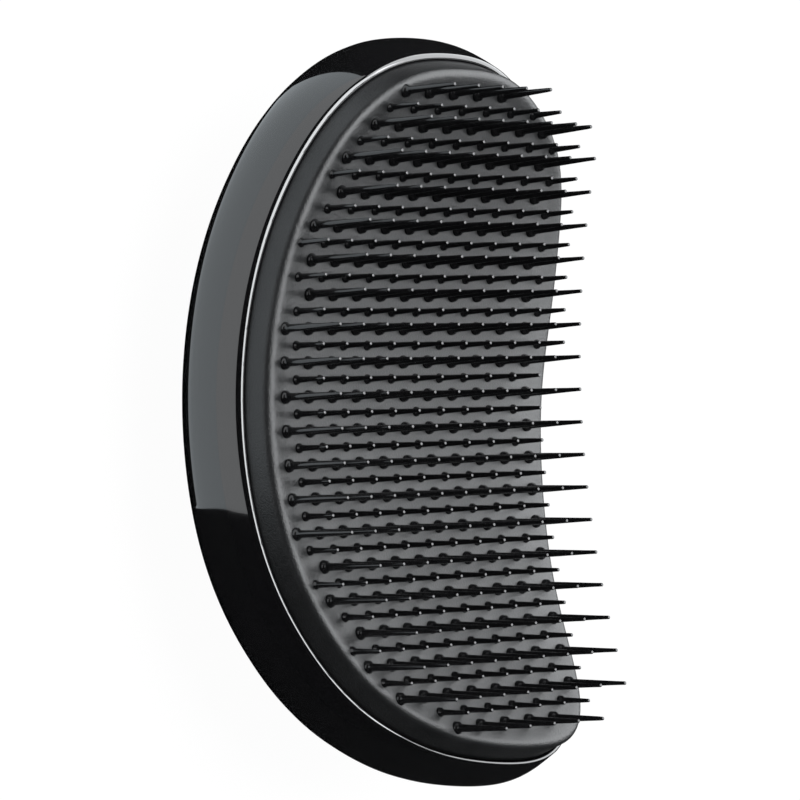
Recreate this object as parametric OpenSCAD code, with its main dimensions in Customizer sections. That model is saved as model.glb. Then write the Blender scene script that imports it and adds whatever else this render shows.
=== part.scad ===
// Palm brush for detangling hair: a hollow glossy shell that fills the palm
// and one flexible moulding with a hollowed face and two heights of teeth.
// The brush lies on its back with its teeth up. X runs along its length,
// the side that bulges most is -Y, and Z is zero at the flat of the back.

/* [Pad outline] */
// Length of the pad between the crests of its two ends
pad_len = 106.4; // [98:0.1:112]
// Width of the pad between the crests of its two long sides
pad_w = 62.7; // [58:0.1:68]
// Radius of the hollow that the face makes along its length
face_len_r = 145; // [125:1:190]
// Radius of the hollow that the face makes across its width
face_cross_r = 330; // [260:5:450]

/* [Pad section] */
// Thickness of the flexible plate that carries the teeth
plate_t = 2.2; // [1.6:0.1:3]
// Height of the crest above the face
crest_h = 0.5; // [0.3:0.05:0.6]
// Width of the slope from the crest down to the face
crest_w = 1.6; // [1.2:0.1:2]
// How far the rounded shoulder stands outside the crest
shoulder_w = 2; // [1.8:0.1:2.4]
// Depth of the rounded shoulder below the crest
shoulder_h = 5.1; // [4.8:0.1:5.6]
// Depth of the straight band under the shoulder
band_h = 2; // [1.8:0.1:2.6]
// Thickness of the skirt inside the shell
skirt_t = 1.3; // [1:0.1:1.8]
// Depth of the skirt under the band
skirt_h = 5; // [4.8:0.1:5.5]

/* [Teeth] */
// Pitch of the rows along the length, long and short rows in turn
row_pitch = 2.6; // [2.5:0.05:3]
// Pitch of the teeth within one row
column_pitch = 5.45; // [5.2:0.05:6]
// Least distance from the middle of a tooth to the crest
tooth_margin = 1; // [0.9:0.1:4]
// Least distance from the first and last row to the ends of the crest
end_margin = 3.2; // [2.8:0.1:6]
// Height of the long teeth
long_h = 12; // [9:0.5:15]
// Height of the long teeth in the two end rows
long_end_h = 10.5; // [8:0.5:13]
// Height of the short teeth
short_h = 6; // [4:0.5:8]
// Radius of the knob at the root of a long tooth
long_knob_r = 1.2; // [1:0.05:1.25]
// Radius of the root of a short tooth
short_root_r = 0.8; // [0.6:0.05:0.95]
// Height of the knob at the root of a long tooth
knob_h = 1.1; // [0.8:0.1:1.6]
// Radius of a long tooth just above its knob
shaft_r = 0.55; // [0.45:0.05:0.7]
// Radius of the flat tip of a tooth
tip_r = 0.3; // [0.2:0.05:0.4]
// Depth that the root of a tooth runs into the plate
root_sink = 0.6; // [0.4:0.1:0.9]
// Sides of a long tooth
long_sides = 3; // [3:1:4]
// Sides of a short tooth
short_sides = 3; // [3:1:4]

/* [Shell] */
// How far the widest line of the shell stands outside the crest
swell_w = 6.4; // [6:0.1:7.2]
// Depth of the widest line below the middle of the face
swell_drop = 11.1; // [10.6:0.1:12.4]
// Depth of the domed back below the widest line
dome_h = 13.1; // [12.4:0.1:18]
// Wall thickness of the shell
shell_wall = 2; // [1.8:0.1:2.2]
// Thickness of the ledge that carries the pad
ledge_t = 1.9; // [1.5:0.1:2.4]
// Width of the rounded lip round the pad
lip_w = 0.75; // [0.7:0.05:0.9]
// Depth of the top of the lip below the face
lip_drop = 4.2; // [3.8:0.1:4.4]

/* [Fixings] */
// Gap between the pad and the shell
fit_gap = 0.25; // [0.15:0.05:0.3]
// How far the ledge reaches in under the band
ledge_reach = 1.65; // [1.3:0.05:1.9]
// Number of snap hooks under the skirt
hook_count = 8; // [8:1:16]
// Width of a snap hook
hook_w = 5; // [3:0.5:6]
// How far a hook reaches out under the ledge
hook_reach = 0.8; // [0.5:0.05:1]
// Depth of the sloping side of a hook
hook_h = 1.6; // [1.2:0.1:1.8]
// Outer radius of the posts that hold the plate up
post_r = 3; // [2.6:0.1:3.4]
// Radius of the pegs that stand in the posts
peg_r = 1.4; // [1.1:0.1:1.6]
// Length of the pegs
peg_len = 7; // [4:0.5:10]
// Distance of the outer posts from the middle along the length
post_x = 27; // [20:1:30]
// Distance of the outer posts from the middle across the width
post_y = 11; // [8:1:13]

/* [Hidden] */

// The crest seen from above, going round from the -X end by the bulging side:
// shares of half the pad's length and of half its width.
OUTLINE_SHARES = [
    [-0.996, 0.196], [-0.951, -0.245], [-0.772, -0.618], [-0.432, -0.899],
    [0, -1.005], [0.431, -0.918], [0.756, -0.607], [0.932, -0.17],
    [1.001, 0.316], [0.989, 0.702], [0.848, 0.857], [0.451, 0.861],
    [0, 0.908], [-0.413, 0.999], [-0.741, 0.939], [-0.946, 0.596]
];
// Steps in each span of the outline
span_steps = 3;
// The back keeps this share of the hollow of the face at the widest line
swell_face_share = 0.7;
// How full the dome is: 1 is an ellipse, less is squarer and more is leaner
dome_power_share = 1.1;
// Size of the flat of the back, as a share of the dome's plan
flat_share = 0.16;
// The swell of the shell is this share smaller on its straight side
straight_ease_share = 0.85;
// Middle of the dome across the width
dome_mid_y = -pad_w / 40;
// Angles down the dome from the widest line to the flat
DOME_ANGLES = [14, 28, 42, 54, 65, 74, 82, 90];
// Angles down the shoulder of the pad from its crest
SHOULDER_ANGLES = [0, 32, 60, 90];
// Angles from the lip out to the widest line of the shell
SWELL_ANGLES = [60, 69, 78];

face_z = swell_drop + dome_h;
half_len = pad_len / 2;
half_w = pad_w / 2;

// Depths below the face, and places outside the crest, of what meets
shoulder_foot = shoulder_h - crest_h;
band_foot = shoulder_foot + band_h;
skirt_foot = band_foot + skirt_h;
mouth_w = shoulder_w + fit_gap;
ledge_top = band_foot + fit_gap;
ledge_foot = ledge_top + ledge_t;
ledge_w = mouth_w - ledge_reach;
skirt_w = ledge_w - fit_gap;
rim_w = mouth_w + lip_w;
lip_round = lip_w / 4;
inner_swell_w = swell_w - shell_wall;
inner_drop = ledge_foot + shell_wall / 2;
inner_dome_h = face_z - shell_wall - inner_drop;

// Height that the hollowed face adds at a place
function hollow(p) = p.x * p.x / (2 * face_len_r) + p.y * p.y / (2 * face_cross_r);

// A smooth closed curve through the points of the outline
function spline(a, b, c, d, u) =
    (2 * b + (c - a) * u + (2 * a - 5 * b + 4 * c - d) * u * u
    + (3 * b - a - 3 * c + d) * u * u * u) / 2;
function corner(i) =
    let (s = OUTLINE_SHARES[(i + len(OUTLINE_SHARES)) % len(OUTLINE_SHARES)])
    [s.x * half_len, s.y * half_w];
CREST = [
    for (i = [0 : len(OUTLINE_SHARES) - 1])
        for (k = [0 : span_steps - 1])
            spline(corner(i - 1), corner(i), corner(i + 1), corner(i + 2), k / span_steps)
];
STATIONS = len(CREST);
function unit(v) = v / norm(v);
function station(i) = CREST[(i + STATIONS) % STATIONS];
// Directions along and straight out of the crest at a station
function along(i) = unit(station(i + 1) - station(i - 1));
function outward(i) = [along(i).y, -along(i).x];

// One station of a ring that lies w outside the crest and drop below the face
function rim_point(i, w, drop) =
    let (p = station(i) + outward(i) * w)
    [p.x, p.y, face_z + hollow(p) - drop];

// The swell outside the lip, which eases on the straight side
function eased(i, w) =
    min(w, rim_w) + max(0, w - rim_w) * (1 - straight_ease_share * max(0, outward(i).y));

// The same on the shell: near the widest line the hollow of the face fades.
// The inside of the shell keeps a depth inside the eased swell.
function shell_point(i, w, drop, fade, depth = 0) =
    let (
        p = station(i) + outward(i) * (eased(i, w) - depth),
        face_share = 1 - (1 - swell_face_share) * fade
    )
    [p.x, p.y, face_z + hollow(p) * face_share - drop];

// One station of a dome of height h that starts at the widest line
function dome_point(i, drop, depth, h, angle) =
    let (
        mid = [0, dome_mid_y],
        rim = shell_point(i, swell_w, drop, 1, depth),
        lift = rim.z - (face_z - drop),
        size = max(pow(max(cos(angle), 0), dome_power_share), flat_share),
        plan = mid + ([rim.x, rim.y] - mid) * size
    )
    [plan.x, plan.y, face_z - drop - h * sin(angle) + lift * pow(cos(angle), 2)];

function rim_ring(w, drop) = [for (i = [0 : STATIONS - 1]) rim_point(i, w, drop)];
function shell_ring(w, drop, fade, depth = 0) =
    [for (i = [0 : STATIONS - 1]) shell_point(i, w, drop, fade, depth)];
function dome_ring(drop, depth, h, angle) =
    [for (i = [0 : STATIONS - 1]) dome_point(i, drop, depth, h, angle)];

// Moves the middle of the widest line, which is the whole body's, to the origin
WIDEST = shell_ring(swell_w, swell_drop, 1);
function middle(v) = (max(v) + min(v)) / 2;
CENTRING = [-middle([for (p = WIDEST) p.x]), -middle([for (p = WIDEST) p.y]), 0];

// Faces between rings that follow each other, closed at the ends or in a loop
function band_faces(a, b) = [
    for (i = [0 : STATIONS - 1])
        let (j = (i + 1) % STATIONS)
        each [
            [a * STATIONS + i, a * STATIONS + j, b * STATIONS + j],
            [a * STATIONS + i, b * STATIONS + j, b * STATIONS + i]
        ]
];
module skin_capped(rings) {
    last = len(rings) - 1;
    polyhedron(
        points = [for (ring = rings) each ring],
        faces = concat(
            [for (r = [0 : last - 1]) each band_faces(r, r + 1)],
            [[for (i = [STATIONS - 1 : -1 : 0]) i]],
            [[for (i = [0 : STATIONS - 1]) last * STATIONS + i]]
        )
    );
}
module skin_loop(rings) {
    polyhedron(
        points = [for (ring = rings) each ring],
        faces = [for (r = [0 : len(rings) - 1]) each band_faces(r, (r + 1) % len(rings))]
    );
}

// The places of the posts and pegs
POSTS = [
    for (sx = [-1, 1]) for (sy = [-1, 1]) [sx * post_x, dome_mid_y + sy * post_y]
];
// Height of the underside of the plate at a place
function under_plate(p) = face_z + hollow(p) - plate_t;

// Glossy hollow shell: lip, swelling wall and domed back outside, and inside
// the mouth for the pad, the ledge that the hooks catch, and the posts
module palm_shell() {
    rim_drop = lip_drop + lip_round;
    inner = [
        for (a = [len(DOME_ANGLES) - 1 : -1 : 0])
            dome_ring(inner_drop, shell_wall, inner_dome_h, DOME_ANGLES[a]),
        shell_ring(swell_w, inner_drop, 1, shell_wall),
        shell_ring(swell_w, ledge_foot, 0, shell_wall),
        shell_ring(ledge_w, ledge_foot, 0),
        shell_ring(ledge_w, ledge_top, 0),
        shell_ring(mouth_w, ledge_top, 0)
    ];
    lip = [
        shell_ring(mouth_w, rim_drop, 0),
        shell_ring(mouth_w + lip_round, lip_drop, 0)
    ];
    outer = [
        for (angle = SWELL_ANGLES)
            let (
                start = SWELL_ANGLES[0],
                out = (sin(angle) - sin(start)) / (1 - sin(start)),
                up = cos(angle) / cos(start)
            )
            shell_ring(
                rim_w + (swell_w - rim_w) * out,
                swell_drop - (swell_drop - rim_drop) * up,
                1 - up
            ),
        WIDEST,
        for (angle = DOME_ANGLES) dome_ring(swell_drop, 0, dome_h, angle)
    ];
    color([0.03, 0.03, 0.035]) {
        skin_capped(concat(inner, lip, outer));
        for (p = POSTS) post(p);
    }
}

// Height of the floor of the shell at a place well inside the dome
function floor_height(p) =
    let (
        reach = [p.x / (half_len + inner_swell_w), (p.y - dome_mid_y) / (half_w + inner_swell_w)],
        angle = acos(min(1, pow(norm(reach), 1 / dome_power_share))),
        edge = [p.x, p.y - dome_mid_y] / norm(reach)
    )
    face_z - inner_drop - inner_dome_h * sin(angle)
    + swell_face_share * hollow(edge) * pow(cos(angle), 2);

// A tubular post from the floor of the shell up to the plate. It stops under
// the lowest place of the plate above it, which is the one nearest the middle.
module post(p) {
    foot_z = floor_height(p) - shell_wall / 2;
    top_z = under_plate(p - unit(p) * post_r) - fit_gap;
    bore_r = peg_r + fit_gap;
    bore_z = under_plate(p) - peg_len - shell_wall;
    translate([p.x, p.y, 0])
        difference() {
            translate([0, 0, foot_z]) cylinder(h = top_z - foot_z, r = post_r, $fn = 48);
            translate([0, 0, bore_z]) cylinder(h = top_z, r = bore_r, $fn = 48);
        }
}

// One moulding: hollowed plate, crest, rounded shoulder, band, skirt, hooks,
// pegs and every tooth
module tooth_pad() {
    color([0.24, 0.25, 0.26]) {
        plate();
        pad_rim();
        for (k = [0 : hook_count - 1]) hook(round(k * STATIONS / hook_count));
        for (p = POSTS) peg(p);
        for (t = TEETH) tooth(t);
    }
}

// The plate is hollowed in flat cells whose edges run between the teeth
cell_rows = 6;
cell_columns = 4;
cells_x = ceil(half_len / (cell_rows * row_pitch));
cells_y = ceil(half_w / (cell_columns * column_pitch));
module plate() {
    xs = [for (i = [-cells_x : cells_x]) (i * cell_rows + 1 / 2) * row_pitch];
    ys = [for (j = [-cells_y : cells_y + 1]) (j - 1 / 2) * cell_columns * column_pitch];
    inset = crest_w / 3;
    intersection() {
        grid_slab(xs, ys);
        linear_extrude(height = 2 * face_z)
            polygon([for (i = [0 : STATIONS - 1]) station(i) - outward(i) * inset]);
    }
}

// A slab whose top follows the face over a grid of places
module grid_slab(xs, ys) {
    nx = len(xs);
    ny = len(ys);
    top = [for (x = xs) for (y = ys) [x, y, face_z + hollow([x, y])]];
    bottom = [for (p = top) p - [0, 0, plate_t]];
    function at(side, i, j) = side * nx * ny + i * ny + j;
    polyhedron(
        points = concat(top, bottom),
        faces = concat(
            [for (i = [0 : nx - 2]) for (j = [0 : ny - 2])
                [at(0, i, j), at(0, i, j + 1), at(0, i + 1, j + 1), at(0, i + 1, j)]],
            [for (i = [0 : nx - 2]) for (j = [0 : ny - 2])
                [at(1, i, j), at(1, i + 1, j), at(1, i + 1, j + 1), at(1, i, j + 1)]],
            [for (i = [0 : nx - 2])
                [at(0, i, 0), at(0, i + 1, 0), at(1, i + 1, 0), at(1, i, 0)]],
            [for (i = [0 : nx - 2])
                [at(0, i + 1, ny - 1), at(0, i, ny - 1), at(1, i, ny - 1), at(1, i + 1, ny - 1)]],
            [for (j = [0 : ny - 2])
                [at(0, 0, j + 1), at(0, 0, j), at(1, 0, j), at(1, 0, j + 1)]],
            [for (j = [0 : ny - 2])
                [at(0, nx - 1, j), at(0, nx - 1, j + 1), at(1, nx - 1, j + 1), at(1, nx - 1, j)]]
        )
    );
}

// Crest, shoulder, band and skirt, swept round the outline
module pad_rim() {
    skirt_in = skirt_w - skirt_t;
    skin_loop(concat(
        [rim_ring(-crest_w / 2, -crest_h * 3 / 4)],
        [for (a = SHOULDER_ANGLES)
            rim_ring(shoulder_w * sin(a), -crest_h + shoulder_h * (1 - cos(a)))],
        [
            rim_ring(shoulder_w, band_foot),
            rim_ring(skirt_w, band_foot),
            rim_ring(skirt_w, skirt_foot),
            rim_ring(skirt_in, skirt_foot),
            rim_ring(-crest_w, plate_t / 2)
        ]
    ));
}

// A barb on the skirt that snaps under the ledge of the shell
module hook(i) {
    w = skirt_w - skirt_t / 2;
    place = rim_point(i, w, ledge_foot + 2 * fit_gap);
    slope = atan(place.x / face_len_r * along(i).x + place.y / face_cross_r * along(i).y);
    edge = hook_h / 8;
    translate(place)
        rotate([0, 0, atan2(outward(i).y, outward(i).x)])
            rotate([slope, 0, 0])
                hull() {
                    translate([0, -hook_w / 2, -edge])
                        cube([skirt_t / 2 + hook_reach, hook_w, edge]);
                    translate([0, -hook_w / 2, -hook_h])
                        cube([skirt_t / 2, hook_w, hook_h]);
                }
}

// A peg under the plate that stands in a post
module peg(p) {
    top_z = under_plate(p) + plate_t / 2;
    tip_z = under_plate(p) - peg_len;
    translate([p.x, p.y, tip_z]) cylinder(h = top_z - tip_z, r = peg_r, $fn = 6);
}

// Distance from a place to the nearest stretch of the crest
function stretch_distance(p, a, b) =
    let (
        ab = b - a,
        u = min(1, max(0, ((p - a) * ab) / (ab * ab)))
    )
    norm(p - a - ab * u);
function crest_distance(p) =
    min([for (i = [0 : STATIONS - 1]) stretch_distance(p, station(i), station(i + 1))]);
// A place is inside when the crest turns once round it
function turn(p, a, b) =
    let (u = a - p, v = b - p)
    atan2(u.x * v.y - u.y * v.x, u * v);
function inside(p) =
    abs(sum([for (i = [0 : STATIONS - 1]) turn(p, station(i), station(i + 1))])) > 180;
function sum(v, i = 0) = i < len(v) ? v[i] + sum(v, i + 1) : 0;

// Long rows are the odd ones, and the short rows between them stand half a
// pitch aside. The pattern lies a quarter pitch off the middle line.
row_reach = floor((half_len - end_margin) / row_pitch);
column_reach = ceil(half_w / column_pitch);
function is_long(row) = abs(row) % 2 == 1;
function tooth_place(row, column) =
    [row * row_pitch, (column + (is_long(row) ? -1 / 4 : 1 / 4)) * column_pitch];
function stands(p, margin) = inside(p) && crest_distance(p) > margin;
// In the fuller corner some teeth that would stand too near the crest are pulled
// in from it. They are counted in rows from the -X end and columns from the side.
CORNER_TEETH = [[1, 2], [2, 1], [3, 1]];
corner_pull = long_knob_r * 2 / 3;
corner_margin = tooth_margin / 4;
function pulled_in(p) = p - unit([p.x / half_len, p.y / half_w]) * corner_pull;
// Place of each tooth and its row
TEETH = [
    for (row = [-row_reach : row_reach])
        for (column = [-column_reach : column_reach])
            let (p = tooth_place(row, column))
            if (stands(p, tooth_margin)) [p, row],
    for (t = CORNER_TEETH)
        let (row = t.x - row_reach, p = tooth_place(row, column_reach - t.y))
        if (!stands(p, tooth_margin) && stands(pulled_in(p), corner_margin)) [pulled_in(p), row]
];

// One tooth of few sides; a long one has a knob at its root
module tooth(t) {
    p = t[0];
    long = is_long(t[1]);
    h = !long ? short_h : abs(t[1]) > row_reach - 2 ? long_end_h : long_h;
    flare = (long_knob_r - shaft_r) / knob_h;
    root = long
        ? [[long_knob_r + root_sink * flare, -root_sink], [shaft_r, knob_h]]
        : [[short_root_r, -root_sink]];
    translate([p.x, p.y, face_z + hollow(p)])
        rotate_extrude($fn = long ? long_sides : short_sides)
            polygon(concat([[0, -root_sink]], root, [[tip_r, h], [0, h]]));
}

translate(CENTRING) palm_shell();
translate(CENTRING) tooth_pad();
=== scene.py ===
"""Looks of a palm brush for detangling hair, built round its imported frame.

The brush lies on its back with its teeth up. X runs along it from its fuller end, the
head, to the other, the tail, and the side that bulges most is towards -Y. Sizes are in
millimetres, and make_piece() turns them into metres. Those of the camera and the studio
are in metres.
"""

import math

import bmesh
import bpy
import numpy as np
from mathutils import Matrix, Vector


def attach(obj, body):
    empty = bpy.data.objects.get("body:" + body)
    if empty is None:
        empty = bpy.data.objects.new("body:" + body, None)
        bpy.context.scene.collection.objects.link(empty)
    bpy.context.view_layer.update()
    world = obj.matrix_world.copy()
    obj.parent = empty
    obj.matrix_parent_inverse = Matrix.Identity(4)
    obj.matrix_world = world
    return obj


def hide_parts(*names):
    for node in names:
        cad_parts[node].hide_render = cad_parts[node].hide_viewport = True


MM = 0.001
BODY = "root"
# An edge that turns by more than this stays sharp
SHARP_DEGREES = 60
# Steps round a small rounding
ARC_DEGREES = (0, 30, 60, 90)

# Pad outline and face, as in the CAD source
PAD_LEN = 106.4
PAD_W = 62.7
FACE_LEN_R = 145.0
FACE_CROSS_R = 330.0
HALF_LEN = PAD_LEN / 2
HALF_W = PAD_W / 2
# The crest from above, from the head by the bulging side: shares of the half sizes
OUTLINE_SHARES = (
    (-0.996, 0.196), (-0.951, -0.245), (-0.772, -0.618), (-0.432, -0.899),
    (0, -1.005), (0.431, -0.918), (0.756, -0.607), (0.932, -0.17),
    (1.001, 0.316), (0.989, 0.702), (0.848, 0.857), (0.451, 0.861),
    (0, 0.908), (-0.413, 0.999), (-0.741, 0.939), (-0.946, 0.596),
)
# Places in each span of the outline, in the CAD and here, and how often it is softened
CAD_STEPS = 3
SPAN_STEPS = 24
SOFTENINGS = 60

# Pad section. The crest is softer than the CAD's and lies further in, most at the ends.
PLATE_T = 2.2
CREST_H = 0.2
CREST_W = 2.6
CREST_PULL = 1.2
SIDE_PULL_SHARE = 0.33
SHOULDER_W = 2.0
SHOULDER_R = 1.75
SHOULDER_FOOT = 4.6
BAND_H = 2.0
SKIRT_T = 1.3
SKIRT_H = 5.0
# Rings of the face and of its underside, as shares of the crest's size
FACE_SHARES = np.linspace(0.06, 0.97, 26)
UNDER_SHARES = (0.8, 0.5, 0.25)
# Rings up the slope of the crest, round the shoulder and down the slant below it
SLOPE_SHARES = np.linspace(0, 1, 9)
SHOULDER_SHARES = np.linspace(0.08, 1, 14)
SLANT_SHARES = (0.25, 0.5, 0.75, 1.0)

# Shell
FIT_GAP = 0.25
MOUTH_W = 2.05
SWELL_W = 6.3
SWELL_DROP = 11.1
DOME_H = 13.1
SHELL_WALL = 2.0
LEDGE_T = 1.9
LEDGE_REACH = 1.65
LIP_W = 0.75
LIP_DROP = 4.2
LIP_IN_R = 0.08
LIP_OUT_R = 1.1
SWELL_FACE_SHARE = 0.7
STRAIGHT_EASE_SHARE = 0.85
STRAIGHT_EASE_POWER = 1.9
# The wall on the bulging side swells less and lower than at the ends, and its top leans
SIDE_TRIM = 0.6
SIDE_SINK = 0.95
LEAN_SHARE = 1.5
# The lip at the tail is sharper, and clears the pad by more
TAIL_TRIM_SHARE = 0.5
TAIL_GAP = 0.2
# The dome draws in towards a flat that lies a little to the bulging side
DOME_POWER = 1.1
DOME_SHIFT_SHARE = 0.025
FLAT_SHARE = 0.16
DOME_MID = np.array((0.0, -PAD_W * DOME_SHIFT_SHARE))
# Rings of the lip and of the wall, and angles of the dome's, from its rim to its flat
LIP_STEPS = 9
WALL_RINGS = 24
DOME_DEGREES = (*np.linspace(4, 78, 24), 81, 84, 87, 90)

# Heights and widths that follow from those above
FACE_Z = SWELL_DROP + DOME_H
BAND_FOOT = SHOULDER_FOOT + BAND_H
RIM_W = MOUTH_W + LIP_W
LEDGE_TOP = BAND_FOOT + FIT_GAP
LEDGE_FOOT = LEDGE_TOP + LEDGE_T
LEDGE_W = MOUTH_W - LEDGE_REACH
SKIRT_W = LEDGE_W - FIT_GAP
SKIRT_FOOT = BAND_FOOT + SKIRT_H
INNER_DROP = LEDGE_FOOT + SHELL_WALL / 2

# Teeth, in rows across the brush that are numbered along it, with 0 in the middle
ROW_PITCH = 2.6
COLUMN_PITCH = 5.45
COLUMN_SHIFT_SHARE = 0.25
TOOTH_MARGIN = 1.0
END_MARGIN = 3.2
ROW_REACH = math.floor((HALF_LEN - END_MARGIN) / ROW_PITCH)
COLUMN_REACH = math.ceil(HALF_W / COLUMN_PITCH)
LONG_H = 12.0
LONG_END_H = 10.5
SHORT_H = 6.0
ROOT_SINK = 0.6
TIP_R = 0.28
TIP_ROUND = 0.08
LONG_SIDES = 20
SHORT_SIDES = 16
# Radius and height of a long and of a short tooth, from the root up to the tip
LONG_PROFILE = (
    (1.1, -ROOT_SINK), (1.07, 0.02), (1.04, 0.3), (0.96, 0.52), (0.78, 0.76),
    (0.68, 0.96), (0.63, 1.3), (0.59, 2.2), (0.53, 4.2), (0.43, 7.0), (0.34, 9.6),
)
SHORT_PROFILE = (
    (0.82, -ROOT_SINK), (0.8, 0.02), (0.77, 0.2), (0.7, 0.36), (0.57, 0.56),
    (0.49, 0.8), (0.43, 2.4), (0.35, 4.4),
)
# Row and column of the teeth in the fuller corner, and how far they stand in from there
CORNER_TEETH = ((-18, 4), (-17, 5), (-16, 5))
CORNER_PULL = np.array((0.15, -0.5))

# Finishes: the darkest and the lightest colour of each, and its index of refraction
SHELL_DARK = (0.0038, 0.0038, 0.0041)
SHELL_LIGHT = (0.0052, 0.0052, 0.0056)
SHELL_IOR = 1.6
PAD_DARK = (0.0092, 0.0096, 0.0101)
PAD_LIGHT = (0.0138, 0.0142, 0.0148)
PAD_IOR = 1.58
TOOTH_DARK = (0.006, 0.006, 0.0065)
TOOTH_LIGHT = (0.009, 0.009, 0.0095)
TOOTH_IOR = 1.65

# Camera: where it stands, and which way its axes point. Lens and sensor are in millimetres.
CAMERA_PLACE = (0.01113, -0.44594, 0.45211)
CAMERA_RIGHT = (0.0428, 0.6929, 0.7198)
CAMERA_UP = (-0.9989, 0.0141, 0.0458)
CAMERA_BACK = (0.0216, -0.7209, 0.6927)
CAMERA_LENS = 177.57
CAMERA_SENSOR_W = 36.0
CAMERA_NEAR = 0.05
CAMERA_FAR = 20.0

# Studio. Azimuth 0 is towards -Y and 90 towards +X.
WHITE = (1.0, 1.0, 1.0)
FLOOR_SIZE = 8.0
FLOOR_PAINT = (0.95, 0.95, 0.95)
FLOOR_SHINE_SHARE = 0.97
FLOOR_GLOSS_TINT = (0.87, 0.95, 1.0)
# Black of the studio cloth, which also paints the shadow under the brush in reflections
CLOTH_AND_SHADOW_BLACK = (0.004, 0.004, 0.004)
LAMP_COLOUR = (0.96, 0.98, 1.0)
SKY_COLOUR = (0.96, 0.98, 1.0)
SKY_FILL = 0.4
# Rays that see the floor and the sky as a bright backdrop
BACKDROP_RAYS = ("Is Camera Ray", "Is Glossy Ray", "Is Transmission Ray")
# The black tent: its radius, and the elevations of its foot and of its topmost rings
TENT_R = 2.4
TENT_FOOT = -2.0
TENT_CROWN = (84.0, 90.0)
# It is open from azimuth OPEN_HEAD to OPEN_TAIL, up to elevation OPEN_TOP
OPEN_HEAD = -93.0
OPEN_TAIL = 10.0
OPEN_TOP = 13.7
OPEN_SPANS = 23
OPEN_ROWS = 13
SHUT_SPANS = 40
# The black mat, cloth that is also the brush's painted shadow on the floor in reflections, lies
# this far above the floor
MAT_LIFT = 0.0002
# In millimetres: its edge runs this far outside the wall, as the edge of the brush's painted
# shadow, and leaves the brush at these places
SHADOW_GAP = 6.5
HEAD_START = (-64.0, -13.0)
TAIL_START = (15.0, -38.0)


def hollow(place):
    """Height that the hollowed face adds at a place, or at each of some places."""
    return place[..., 0] ** 2 / (2 * FACE_LEN_R) + place[..., 1] ** 2 / (2 * FACE_CROSS_R)


def closed_curve(shares, steps):
    """A smooth closed curve through the points of the outline, with steps places a span."""
    here = np.array(shares, float)[:, None, :] * (HALF_LEN, HALF_W)
    before, after, far = (np.roll(here, shift, 0) for shift in (1, -1, -2))
    t = (np.arange(steps) / steps)[:, None]
    points = (
        2 * here + (after - before) * t
        + (2 * before - 5 * here + 4 * after - far) * t**2
        + (3 * here - before - 3 * after + far) * t**3
    ) / 2
    return points.reshape(-1, 2)


def evened(points, count):
    """The closed curve again, with count points at even steps along it."""
    loop = np.vstack((points, points[:1]))
    run = np.concatenate(([0], np.cumsum(np.linalg.norm(np.diff(loop, axis=0), axis=1))))
    stops = np.linspace(0, run[-1], count, endpoint=False)
    return np.stack([np.interp(stops, run, loop[:, axis]) for axis in (0, 1)], -1)


def averaged(points, times):
    """The closed curve with each point drawn towards its neighbours, times over."""
    for _ in range(times):
        points = (np.roll(points, 1, 0) + 2 * points + np.roll(points, -1, 0)) / 4
    return points


def softened(points, times):
    """The closed curve with small bends evened out, so that gloss flows along it, and
    with the width that the averaging takes off given back."""
    once = averaged(points, times)
    return once + averaged(points - once, times)


def outward_of(points):
    """Which way is out of the closed curve at each of its points, as steps of length 1."""
    along = np.roll(points, -1, 0) - np.roll(points, 1, 0)
    along /= np.linalg.norm(along, axis=1)[:, None]
    return np.stack((along[:, 1], -along[:, 0]), -1)


OUTLINE_COUNT = len(OUTLINE_SHARES) * SPAN_STEPS
CREST = softened(evened(closed_curve(OUTLINE_SHARES, SPAN_STEPS), OUTLINE_COUNT), SOFTENINGS)
OUTWARD = outward_of(CREST)
CAD_CREST = closed_curve(OUTLINE_SHARES, CAD_STEPS)
CAD_SIDES = np.roll(CAD_CREST, -1, 0) - CAD_CREST

# How far each place of the outline faces the bulging side, the straight side and the tail
SIDE = np.maximum(0, -OUTWARD[:, 1])
STRAIGHT = np.maximum(0, OUTWARD[:, 1])
TAIL = np.maximum(0, OUTWARD[:, 0])

# The wall at each place: how far it swells past the lip, where it is widest, and its lean
SWELL = (SWELL_W - RIM_W) * (1 - STRAIGHT_EASE_SHARE * STRAIGHT**STRAIGHT_EASE_POWER)
WIDEST_W = RIM_W + SWELL - SIDE_TRIM * SIDE**2
WIDEST_DROP = SWELL_DROP + SIDE_SINK * SIDE**2
LEAN = LEAN_SHARE * np.arctan2(WIDEST_W - RIM_W, WIDEST_DROP - LIP_DROP)
# The lip at each place
LIP_START = MOUTH_W + TAIL_GAP * TAIL
LIP_R = LIP_OUT_R * (1 - TAIL_TRIM_SHARE * TAIL)

# How far in the crest lies at each place
CREST_IN = CREST_PULL * np.hypot(OUTWARD[:, 0], SIDE_PULL_SHARE) * (1 - STRAIGHT)
# From the middle of the shoulder's rounding to the foot of its slant, which just touches the
# rounding, and how far the rounding turns before that
SLANT_W = SHOULDER_W + CREST_IN
SLANT_DROP = SHOULDER_FOOT + CREST_H - SHOULDER_R
SHOULDER_TURN = (
    np.arctan2(SLANT_DROP, SLANT_W) + np.arcsin(SHOULDER_R / np.hypot(SLANT_W, SLANT_DROP))
)

# Moves the middle of the widest line, as it is before the side is trimmed, to the origin
UNTRIMMED = CREST + OUTWARD * (RIM_W + SWELL)[:, None]
CENTRING = np.array((*(-(UNTRIMMED.max(0) + UNTRIMMED.min(0)) / 2), 0.0))


def ring_at(out, drop, face_share=1.0):
    """A ring out from the crest and drop below the face, that follows face_share of its
    hollow. out and drop are the same all round, or one for each place."""
    plan = CREST + OUTWARD * np.reshape(out, (-1, 1))
    return np.column_stack((plan, FACE_Z + hollow(plan) * face_share - drop))


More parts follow.
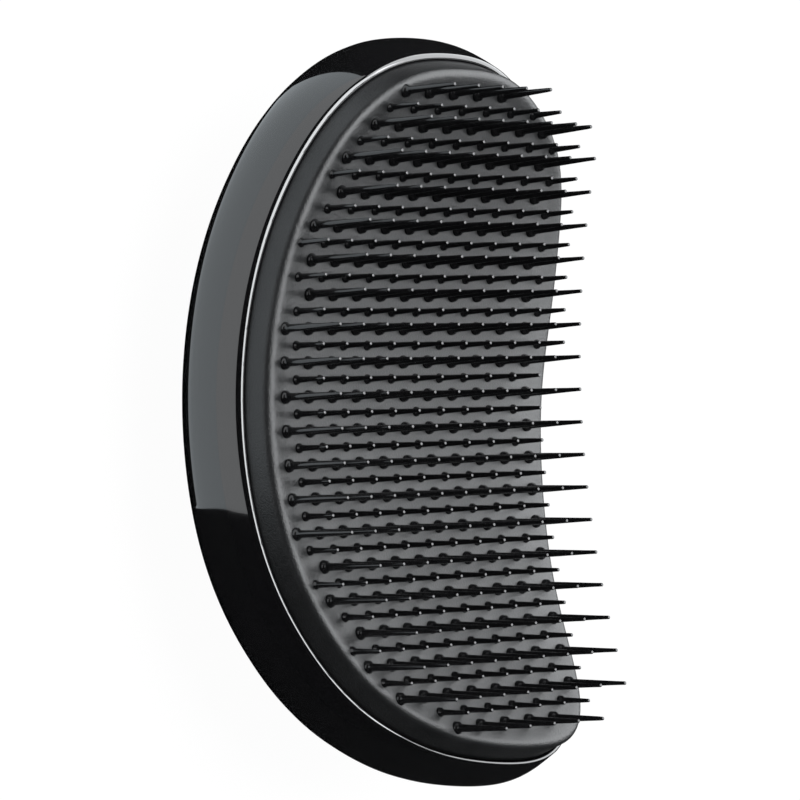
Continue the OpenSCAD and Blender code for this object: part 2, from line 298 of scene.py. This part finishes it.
def lip_place(share):
    """How far out and down the lip's outer rounding is, from its top at share 0 to the
    wall at 1."""
    turn = share * (math.pi / 2 - LEAN)
    out = LIP_START + LIP_IN_R + LIP_R * np.sin(turn)
    return out, LIP_DROP + LIP_R * (1 - np.cos(turn))


def wall_ring(share):
    """A ring of the wall, from the lip at share 0, which it leaves with a lean, to the
    widest line at 1, where it is upright."""
    out, drop = lip_place(1)
    pull = np.hypot(WIDEST_W - out, WIDEST_DROP - drop)
    start = 2 * share**3 - 3 * share**2 + 1
    lead = share**3 - 2 * share**2 + share
    end = 3 * share**2 - 2 * share**3
    trail = share**3 - share**2
    out = start * out + lead * pull * np.sin(LEAN) + end * WIDEST_W
    drop = start * drop + lead * pull * np.cos(LEAN) + end * WIDEST_DROP + trail * pull
    return ring_at(out, drop, 1 - (1 - SWELL_FACE_SHARE) * share)


def dome_ring(drop, depth, degrees):
    """A ring of a dome that starts drop below the face, depth inside the widest line, and
    ends depth above the ground. degrees run from 0 at its rim to 90 at its flat."""
    angle = math.radians(degrees)
    rim = ring_at(WIDEST_W - depth, drop, SWELL_FACE_SHARE)
    size = max(math.cos(angle) ** DOME_POWER, FLAT_SHARE)
    plan = DOME_MID + (rim[:, :2] - DOME_MID) * size
    lift = rim[:, 2] - (FACE_Z - drop)
    height = (FACE_Z - drop - depth) * (1 - math.sin(angle))
    return np.column_stack((plan, depth + height + lift * math.cos(angle) ** 2))


def shoulder_place(share):
    """How far out and down the shoulder's rounding is, from the crest at share 0 to the
    slant at 1."""
    turn = SHOULDER_TURN * share
    out = SHOULDER_R * np.sin(turn) - CREST_IN
    return out, SHOULDER_R * (1 - np.cos(turn)) - CREST_H


def face_ring(size, depth=0.0):
    """A ring of the hollowed face, of a share of the crest's size, depth below it."""
    plan = ring_at(-CREST_W - CREST_IN, 0)[:, :2] * size
    return np.column_stack((plan, FACE_Z + hollow(plan) - depth))


def arc_pairs(degrees):
    """Sine and cosine of each of some angles."""
    return [(math.sin(math.radians(angle)), math.cos(math.radians(angle))) for angle in degrees]


def skin(rings, start_point, end_point):
    """Points and faces of a surface through rings, closed to a point at both ends."""
    count = len(rings[0])
    total = len(rings) * count
    faces = []
    for near in range(0, total - count, count):
        far = near + count
        for i in range(count):
            j = (i + 1) % count
            faces.append((near + i, near + j, far + j, far + i))
    for ring, tip in ((0, total), (total - count, total + 1)):
        for i in range(count):
            faces.append((ring + i, ring + (i + 1) % count, tip))
    return np.vstack((*rings, [start_point], [end_point])), faces


def make_piece(name, points, faces, replaced, material):
    """A smooth-shaded mesh object from points in millimetres, riding on the body."""
    mesh = bpy.data.meshes.new(name)
    mesh.from_pydata(((np.asarray(points) + CENTRING) * MM).tolist(), [], faces)
    form = bmesh.new()
    form.from_mesh(mesh)
    bmesh.ops.recalc_face_normals(form, faces=form.faces)
    form.to_mesh(mesh)
    form.free()
    mesh.polygons.foreach_set("use_smooth", [True] * len(mesh.polygons))
    mesh.set_sharp_from_angle(angle=math.radians(SHARP_DEGREES))
    mesh.materials.append(material)
    piece = bpy.data.objects.new(name, mesh)
    bpy.context.scene.collection.objects.link(piece)
    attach(piece, BODY)
    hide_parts(replaced)


def make_shell():
    """The hollow glossy shell: inside, ledge, mouth, rounded lip, wall and domed back."""
    inner = [dome_ring(INNER_DROP, SHELL_WALL, degrees) for degrees in DOME_DEGREES[::-2]]
    inner += [
        ring_at(WIDEST_W - SHELL_WALL, INNER_DROP, SWELL_FACE_SHARE),
        ring_at(WIDEST_W - SHELL_WALL, LEDGE_FOOT),
        ring_at(LEDGE_W, LEDGE_FOOT),
        ring_at(LEDGE_W, LEDGE_TOP),
        ring_at(MOUTH_W, LEDGE_TOP),
    ]
    lip = [
        ring_at(LIP_START + LIP_IN_R * (1 - cosine), LIP_DROP + LIP_IN_R * (1 - sine))
        for sine, cosine in arc_pairs(ARC_DEGREES[:-1])
    ]
    lip += [ring_at(*lip_place(share)) for share in np.linspace(0, 1, LIP_STEPS, endpoint=False)]
    wall = [wall_ring(share) for share in np.linspace(0, 1, WALL_RINGS)]
    dome = [dome_ring(WIDEST_DROP, 0, degrees) for degrees in DOME_DEGREES]
    points, faces = skin(inner + lip + wall + dome, (*DOME_MID, SHELL_WALL), (*DOME_MID, 0.0))
    make_piece("shell_body", points, faces, "palm_shell", shell_material())


def make_pad():
    """The flexible moulding without its teeth: face, crest, shoulder, band and skirt."""
    face = [face_ring(size) for size in FACE_SHARES]
    slope = [
        ring_at(-CREST_W * (1 - share) - CREST_IN, -CREST_H * (1 - math.cos(math.pi * share)) / 2)
        for share in SLOPE_SHARES
    ]
    shoulder = [ring_at(*shoulder_place(share)) for share in SHOULDER_SHARES]
    out, drop = shoulder_place(1)
    slant = [
        ring_at(out * (1 - share) + SHOULDER_W * share, drop * (1 - share) + SHOULDER_FOOT * share)
        for share in SLANT_SHARES
    ]
    hidden = [
        ring_at(SHOULDER_W, BAND_FOOT),
        ring_at(SKIRT_W, BAND_FOOT),
        ring_at(SKIRT_W, SKIRT_FOOT),
        ring_at(SKIRT_W - SKIRT_T, SKIRT_FOOT),
        ring_at(SKIRT_W - SKIRT_T, PLATE_T),
    ]
    under = [face_ring(size, PLATE_T) for size in UNDER_SHARES]
    points, faces = skin(
        face + slope + shoulder + slant + hidden + under, (0, 0, FACE_Z), (0, 0, FACE_Z - PLATE_T)
    )
    make_piece("pad_body", points, faces, "tooth_pad", pad_material())


def crest_distance(place):
    """Distance from a place to the CAD's crest, negative outside it."""
    along = np.clip(((place - CAD_CREST) * CAD_SIDES).sum(1) / (CAD_SIDES**2).sum(1), 0, 1)
    gap = place - CAD_CREST - CAD_SIDES * along[:, None]
    nearest = np.argmin(np.linalg.norm(gap, axis=1))
    inward = np.array((-CAD_SIDES[nearest, 1], CAD_SIDES[nearest, 0]))
    return np.linalg.norm(gap[nearest]) * np.sign(gap[nearest] @ inward)


def tooth_place(row, column):
    """Where a tooth stands. The pattern lies a share of a pitch off the middle line, and
    the odd rows, which are the long ones, as far to the other side."""
    shift = -COLUMN_SHIFT_SHARE if row % 2 else COLUMN_SHIFT_SHARE
    return np.array((row * ROW_PITCH, (column + shift) * COLUMN_PITCH))


def tooth_height(row):
    """Height of the teeth in a row. The last long row at each end is a little lower."""
    if row % 2 == 0:
        return SHORT_H
    return LONG_END_H if abs(row) > ROW_REACH - 2 else LONG_H


def tooth_places():
    """Heights and places of all teeth: inside the crest, and in the fuller corner."""
    places = []
    for row in range(-ROW_REACH, ROW_REACH + 1):
        for column in range(-COLUMN_REACH, COLUMN_REACH + 1):
            place = tooth_place(row, column)
            if crest_distance(place) > TOOTH_MARGIN:
                places.append((tooth_height(row), place))
    for row, column in CORNER_TEETH:
        height = LONG_END_H if row % 2 else SHORT_H
        places.append((height, tooth_place(row, column) + CORNER_PULL))
    return places


def make_teeth(name, teeth, profile, sides, material):
    """Round teeth with a knob at the root and a blunt rounded tip, all in one mesh."""
    turn = np.linspace(0, 2 * math.pi, sides, endpoint=False)
    circle = np.column_stack((np.cos(turn), np.sin(turn)))
    points = []
    faces = []
    for height, place in teeth:
        root_z = FACE_Z + hollow(place)
        shaft = [(radius, z) for radius, z in profile if z < height - 2 * TIP_R]
        tip = [
            (TIP_R - TIP_ROUND * (1 - cosine), height - TIP_ROUND * (1 - sine))
            for sine, cosine in arc_pairs(ARC_DEGREES)
        ]
        rings = [
            np.column_stack((circle * radius + place, np.full(sides, root_z + z)))
            for radius, z in shaft + tip
        ]
        foot = (*place, root_z - ROOT_SINK)
        top = (*place, root_z + height)
        tooth_points, tooth_faces = skin(rings, foot, top)
        start = len(points)
        points.extend(tooth_points)
        faces.extend(tuple(start + i for i in face) for face in tooth_faces)
    make_piece(name, points, faces, "tooth_pad", material)


def make_all_teeth():
    """The long teeth in one piece, and the short ones in another."""
    teeth = tooth_places()
    long_teeth = [tooth for tooth in teeth if tooth[0] > SHORT_H]
    short_teeth = [tooth for tooth in teeth if tooth[0] <= SHORT_H]
    material = tooth_material()
    make_teeth("long_teeth", long_teeth, LONG_PROFILE, LONG_SIDES, material)
    make_teeth("short_teeth", short_teeth, SHORT_PROFILE, SHORT_SIDES, material)


def new_material(name):
    """A new material, its node tree and its shader."""
    material = bpy.data.materials.new(name)
    material.use_nodes = True
    return material, material.node_tree, material.node_tree.nodes["Principled BSDF"]


def add_noise(tree, scale, detail, roughness=0.5):
    """A noise in the object's own coordinates, in cycles a metre."""
    where = tree.nodes.new("ShaderNodeTexCoord")
    noise = tree.nodes.new("ShaderNodeTexNoise")
    noise.inputs["Scale"].default_value = scale
    noise.inputs["Detail"].default_value = detail
    noise.inputs["Roughness"].default_value = roughness
    tree.links.new(where.outputs["Object"], noise.inputs["Vector"])
    return noise.outputs["Fac"]


def add_range(tree, value, low, high):
    """value, from 0 to 1, moved to run from low to high."""
    spread = tree.nodes.new("ShaderNodeMapRange")
    spread.inputs["To Min"].default_value = low
    spread.inputs["To Max"].default_value = high
    tree.links.new(value, spread.inputs["Value"])
    return spread.outputs["Result"]


def add_bump(tree, height, distance, strength):
    """A normal that follows height, over a distance in metres."""
    bump = tree.nodes.new("ShaderNodeBump")
    bump.inputs["Distance"].default_value = distance
    bump.inputs["Strength"].default_value = strength
    tree.links.new(height, bump.inputs["Height"])
    return bump.outputs["Normal"]


def add_colours(tree, value, *stops):
    """Colours along value, between two stops, each a place and its colour."""
    ramp = tree.nodes.new("ShaderNodeValToRGB")
    for element, (place, colour) in zip(ramp.color_ramp.elements, stops):
        element.position = place
        element.color = (*colour, 1)
    tree.links.new(value, ramp.inputs["Fac"])
    return ramp.outputs["Color"]


def set_finish(tree, shader, colour, roughness, normal):
    """Gives the shader its colour, roughness and normal."""
    tree.links.new(colour, shader.inputs["Base Color"])
    tree.links.new(roughness, shader.inputs["Roughness"])
    tree.links.new(normal, shader.inputs["Normal"])


def shell_material():
    """High gloss black moulding with a faint ripple and hair-fine handling marks."""
    material, tree, shader = new_material("shell_gloss")
    ripple = add_noise(tree, scale=45, detail=1.0)
    marks = add_noise(tree, scale=900, detail=4.0, roughness=0.6)
    colour = add_colours(tree, marks, (0.3, SHELL_DARK), (0.7, SHELL_LIGHT))
    roughness = add_range(tree, marks, low=0.03, high=0.09)
    normal = add_bump(tree, ripple, distance=0.0004, strength=0.02)
    set_finish(tree, shader, colour, roughness, normal)
    shader.inputs["IOR"].default_value = SHELL_IOR
    shader.inputs["Coat Weight"].default_value = 1.0
    shader.inputs["Coat Roughness"].default_value = 0.02
    shader.inputs["Coat IOR"].default_value = SHELL_IOR
    return material


def pad_material():
    """Finely spark-grained charcoal elastomer."""
    material, tree, shader = new_material("pad_matte")
    cloud = add_noise(tree, scale=160, detail=3.0)
    grain = add_noise(tree, scale=3200, detail=3.0, roughness=0.65)
    colour = add_colours(tree, cloud, (0.35, PAD_DARK), (0.65, PAD_LIGHT))
    roughness = add_range(tree, grain, low=0.3, high=0.4)
    normal = add_bump(tree, grain, distance=0.0001, strength=0.8)
    set_finish(tree, shader, colour, roughness, normal)
    shader.inputs["IOR"].default_value = PAD_IOR
    return material


def tooth_material():
    """Smooth black teeth, a little less glossy than the shell."""
    material, tree, shader = new_material("tooth_gloss")
    flow = add_noise(tree, scale=700, detail=2.0)
    colour = add_colours(tree, flow, (0.3, TOOTH_DARK), (0.7, TOOTH_LIGHT))
    roughness = add_range(tree, flow, low=0.05, high=0.1)
    normal = add_bump(tree, flow, distance=0.00005, strength=0.2)
    set_finish(tree, shader, colour, roughness, normal)
    shader.inputs["IOR"].default_value = TOOTH_IOR
    return material


def direction(azimuth, elevation):
    """A direction from the brush, for angles in degrees."""
    turn = math.radians(azimuth)
    rise = math.radians(elevation)
    level = math.cos(rise)
    return Vector((math.sin(turn) * level, -math.cos(turn) * level, math.sin(rise)))


def stage_object(name, points, faces, material):
    """A part of the studio, from points in metres."""
    mesh = bpy.data.meshes.new(name)
    mesh.from_pydata([tuple(point) for point in points], [], faces)
    mesh.materials.append(material)
    thing = bpy.data.objects.new(name, mesh)
    bpy.context.scene.collection.objects.link(thing)
    return thing


def add_ray_share(tree, sources):
    """1 for the kinds of ray that sources names, and 0 for the others."""
    rays = tree.nodes.new("ShaderNodeLightPath")
    total = rays.outputs[sources[0]]
    for source in sources[1:]:
        both = tree.nodes.new("ShaderNodeMath")
        both.operation = "MAXIMUM"
        tree.links.new(total, both.inputs[0])
        tree.links.new(rays.outputs[source], both.inputs[1])
        total = both.outputs["Value"]
    return total


def floor_material():
    """White floor that shows white to the camera and in gloss, and keeps a soft shadow."""
    material, tree, _ = new_material("floor_white")
    tree.nodes.clear()
    paint = tree.nodes.new("ShaderNodeBsdfDiffuse")
    paint.inputs["Color"].default_value = (*FLOOR_PAINT, 1)
    shine = tree.nodes.new("ShaderNodeEmission")
    to_camera = add_ray_share(tree, ("Is Camera Ray",))
    tint = add_colours(tree, to_camera, (0.0, FLOOR_GLOSS_TINT), (1.0, WHITE))
    tree.links.new(tint, shine.inputs["Color"])
    share = tree.nodes.new("ShaderNodeMath")
    share.operation = "MULTIPLY"
    share.inputs[1].default_value = FLOOR_SHINE_SHARE
    tree.links.new(add_ray_share(tree, BACKDROP_RAYS), share.inputs[0])
    mix = tree.nodes.new("ShaderNodeMixShader")
    tree.links.new(share.outputs["Value"], mix.inputs["Fac"])
    tree.links.new(paint.outputs["BSDF"], mix.inputs[1])
    tree.links.new(shine.outputs["Emission"], mix.inputs[2])
    out = tree.nodes.new("ShaderNodeOutputMaterial")
    tree.links.new(mix.outputs["Shader"], out.inputs["Surface"])
    return material


def make_floor():
    """A plain square floor under the brush."""
    half = FLOOR_SIZE / 2
    corners = [(-half, -half, 0), (half, -half, 0), (half, half, 0), (-half, half, 0)]
    stage_object("floor", corners, [(0, 1, 2, 3)], floor_material())


def black_cloth_and_shadow_material():
    """Black cloth without any gloss, which also serves as the painted shadow under the brush."""
    material, _, shader = new_material("black_cloth_and_shadow")
    shader.inputs["Base Color"].default_value = (*CLOTH_AND_SHADOW_BLACK, 1)
    shader.inputs["Roughness"].default_value = 1.0
    shader.inputs["Specular IOR Level"].default_value = 0.0
    return material


def only_in_gloss(thing):
    """Studio cloth, and the painted shadow under the brush, that darken reflections and that
    nothing else sees.
    """
    thing.visible_camera = False
    thing.visible_diffuse = False
    thing.visible_shadow = False
    thing.visible_transmission = False


def make_black_tent(cloth, shut):
    """Black cloth round the set, open on the bulging side of the brush, as for any black
    gloss. shut holds the azimuths where it reaches the floor."""
    around = np.concatenate((np.linspace(OPEN_HEAD, OPEN_TAIL, OPEN_SPANS + 1), shut[1:]))
    up = np.concatenate((np.linspace(TENT_FOOT, OPEN_TOP, OPEN_ROWS + 1), TENT_CROWN))
    points = [direction(azimuth, elevation) * TENT_R for elevation in up for azimuth in around]
    faces = []
    for row in range(len(up) - 1):
        for i in range(len(around) - 1):
            is_open = i < OPEN_SPANS and row < OPEN_ROWS
            if not is_open:
                low = row * len(around) + i
                high = low + len(around)
                faces.append((low, low + 1, high + 1, high))
    only_in_gloss(stage_object("black_tent", points, faces, cloth))


def make_black_mat_and_painted_shadow(cloth, shut):
    """Black cloth on the floor, all but the part by the bulging side and the head. Under the brush
    and out past its wall it is a painted shadow, standing in for the brush's contact shadow as
    gloss sees it.
    """
    # Under the brush and out to this edge, the mat is a painted shadow: the brush's contact shadow
    # as gloss sees it
    spread = ring_at(WIDEST_W + SHADOW_GAP, 0) + CENTRING
    near = [(x, y) for x, y, _ in spread if x < TAIL_START[0] and y < HEAD_START[1]]
    border = [(x * MM, y * MM) for x, y in (HEAD_START, *near, TAIL_START)]
    far = [direction(azimuth, 0) * TENT_R for azimuth in shut]
    points = [(*point[:2], MAT_LIFT) for point in (*border, *far)]
    only_in_gloss(stage_object("black_mat_and_painted_shadow", points, [tuple(range(len(points)))], cloth))


def add_panel(name, azimuth, elevation, distance, size, radiance):
    """A soft panel lamp that faces the brush, as bright as radiance from any side."""
    lamp = bpy.data.lights.new(name, "AREA")
    lamp.shape = "RECTANGLE"
    lamp.size, lamp.size_y = size
    lamp.energy = radiance * math.pi * size[0] * size[1]
    lamp.color = LAMP_COLOUR
    panel = bpy.data.objects.new(name, lamp)
    bpy.context.scene.collection.objects.link(panel)
    aim = Vector((0, 0, FACE_Z * MM))
    back = direction(azimuth, elevation)
    panel.location = aim + back * distance
    panel.rotation_euler = (-back).to_track_quat("-Z", "Y").to_euler()
    panel.visible_camera = False


def make_world():
    """Near white to the camera and in gloss, and a soft fill for everything else."""
    world = bpy.data.worlds.new("studio")
    bpy.context.scene.world = world
    world.use_nodes = True
    tree = world.node_tree
    sky = tree.nodes["Background"]
    sky.inputs["Color"].default_value = (*SKY_COLOUR, 1)
    strength = add_range(tree, add_ray_share(tree, BACKDROP_RAYS), low=SKY_FILL, high=1.0)
    tree.links.new(strength, sky.inputs["Strength"])


def make_camera():
    """The camera, at the photograph's viewing angle."""
    lens = bpy.data.cameras.new("camera")
    lens.sensor_fit = "HORIZONTAL"
    lens.sensor_width = CAMERA_SENSOR_W
    lens.lens = CAMERA_LENS
    lens.clip_start = CAMERA_NEAR
    lens.clip_end = CAMERA_FAR
    camera = bpy.data.objects.new("camera", lens)
    bpy.context.scene.collection.objects.link(camera)
    axes = Matrix((CAMERA_RIGHT, CAMERA_UP, CAMERA_BACK)).transposed()
    camera.matrix_world = Matrix.Translation(CAMERA_PLACE) @ axes.to_4x4()
    bpy.context.scene.camera = camera


def make_studio():
    """Floor, cloths with the painted shadow under the brush, lamps, sky and camera."""
    make_floor()
    cloth = black_cloth_and_shadow_material()
    shut = np.linspace(OPEN_TAIL, OPEN_HEAD + 360, SHUT_SPANS + 1)
    make_black_tent(cloth, shut)
    make_black_mat_and_painted_shadow(cloth, shut)
    add_panel("back_panel", azimuth=208, elevation=33, distance=1.1, size=(1.4, 1.15), radiance=4.1)
    add_panel("top_panel", azimuth=228, elevation=77, distance=1.1, size=(1.0, 0.7), radiance=7.0)
    make_world()
    make_camera()
    bpy.context.scene.view_settings.view_transform = "Standard"


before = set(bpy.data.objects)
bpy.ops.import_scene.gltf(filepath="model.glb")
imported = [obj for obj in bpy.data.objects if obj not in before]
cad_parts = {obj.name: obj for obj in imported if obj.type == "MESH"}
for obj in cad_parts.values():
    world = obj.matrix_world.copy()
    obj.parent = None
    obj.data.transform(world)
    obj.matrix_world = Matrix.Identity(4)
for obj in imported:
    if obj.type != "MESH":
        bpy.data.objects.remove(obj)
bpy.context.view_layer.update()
make_shell()
make_pad()
make_all_teeth()
make_studio()
